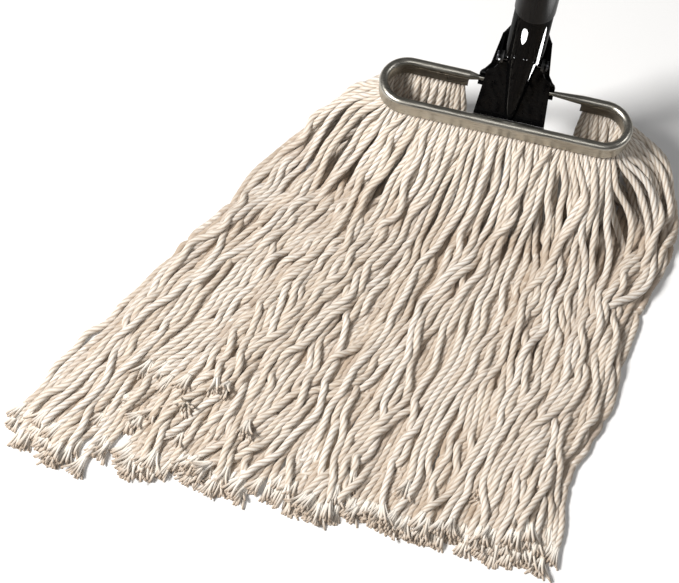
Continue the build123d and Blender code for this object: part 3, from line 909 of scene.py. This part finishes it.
def stainless():
    finish = surface("stainless", (0.5, 0.48, 0.44), 0.3, 1.0)
    colours = ((0.36, 0.34, 0.29), (0.52, 0.50, 0.45))
    return grained(*finish, (0.06, 1, 1), 1400, colours, (0.24, 0.42), 0.00006)


def black_gloss():
    finish = lacquered(*surface("black_gloss", (0.002, 0.002, 0.002), 0.3, specular=0.0))
    colours = ((0.001, 0.001, 0.0012), (0.003, 0.003, 0.0032))
    return grained(*finish, (1, 1, 1), 420, colours, (0.25, 0.35), 0.00001)


def pole_black():
    finish = surface("pole_black", (0.006, 0.006, 0.006), 0.3, specular=0.1)
    colours = ((0.003, 0.003, 0.0033), (0.008, 0.008, 0.0085))
    return grained(*finish, (1, 1, 0.08), 900, colours, (0.24, 0.36), 0.00004)


def black_zinc():
    finish = surface("zinc", (0.1, 0.1, 0.11), 0.35, 1.0)
    colours = ((0.05, 0.05, 0.055), (0.12, 0.12, 0.13))
    return grained(*finish, (1, 1, 1), 700, colours, (0.28, 0.45), 0.00005)


def spring_steel():
    finish = surface("spring_steel", (0.3, 0.3, 0.3), 0.3, 1.0)
    colours = ((0.20, 0.20, 0.20), (0.34, 0.33, 0.32))
    return grained(*finish, (1, 1, 1), 900, colours, (0.25, 0.4), 0.00003)


def nylon():
    finish = surface("nylon", (0.02, 0.02, 0.02), 0.5)
    colours = ((0.015, 0.015, 0.016), (0.03, 0.03, 0.03))
    return grained(*finish, (1, 1, 1), 1200, colours, (0.4, 0.6), 0.00006)


def cap_plastic():
    finish = surface("cap_plastic", (0.012, 0.012, 0.012), 0.45)
    colours = ((0.010, 0.010, 0.011), (0.022, 0.022, 0.023))
    return grained(*finish, (1, 1, 1), 1500, colours, (0.38, 0.55), 0.0001)


def sewing_thread():
    finish = surface("thread", (0.8, 0.78, 0.74), 0.7)
    colours = ((0.66, 0.63, 0.57), (0.86, 0.84, 0.80))
    return grained(*finish, (1, 1, 1), 3000, colours, (0.6, 0.8), 0.0001)


def cord_cotton():
    finish = surface("cord_cotton", (0.75, 0.72, 0.66), 0.8)
    colours = ((0.62, 0.57, 0.50), (0.84, 0.81, 0.76))
    return grained(*finish, (1, 1, 1), 2200, colours, (0.7, 0.9), 0.0002)


def hard_materials():
    """The material of each CAD node that stays."""
    steel, black, zinc = stainless(), black_gloss(), black_zinc()
    return {
        "ring_frame": steel, "ring_saddle": steel, "front_shell": black, "release_lever": black,
        "pivot_pin": zinc, "pin_retainer": zinc, "pin_spacers": nylon(), "torsion_spring": spring_steel(),
        "pole_tube": pole_black(), "pole_screw": zinc, "pole_end_cap": cap_plastic(),
        "heading_cord": cord_cotton(), "heading_stitches": sewing_thread(),
    }


def finish_frame_nodes():
    """Gives each CAD node that stays its own material."""
    for name, material in hard_materials().items():
        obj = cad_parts[name]
        obj.data.materials.clear()
        obj.data.materials.append(material)


def add_yarns():
    """Lays out and settles all yarns, then makes one piece of each sector, and the heading's tape."""
    rng = np.random.default_rng(SEED)
    yarns = plan_lines(rng)
    curves = start_curves(yarns, rng)
    along = np.linspace(0, USUAL_LENGTH, STEPS)
    undulation = np.array([waves(rng, 4, 0.04, 0.11)(along) * UNDULATION for _ in yarns])
    curves = settle(curves, undulation, ROUNDS)
    lines = refine(curves, DETAIL_STEP)
    depth = pile_depth(lines)
    material = cotton()
    marks = heading_marks()
    s = np.array([y["s"] for y in yarns])
    front = np.linspace(marks[2], marks[3], FRONT_SECTORS + 1)
    edges = [0, marks[1], *front, marks[4], marks[5]]
    fronts = [f"yarn_front_{k}" for k in range(1, FRONT_SECTORS + 1)]
    names = ["yarn_rear_left", "yarn_left_end", *fronts, "yarn_right_end", "yarn_rear_right"]
    for name, low, high in zip(names, edges[:-1], edges[1:]):
        chosen = (s >= low) & (s < high)
        piece_name = name.replace("yarn", "strands")
        yarn_sector(piece_name, name, lines[chosen], depth[chosen], rng, material)
    heading_tape(woven())


finish_frame_nodes()
add_camera()
add_world()
add_floor()
add_lights()
add_yarns()
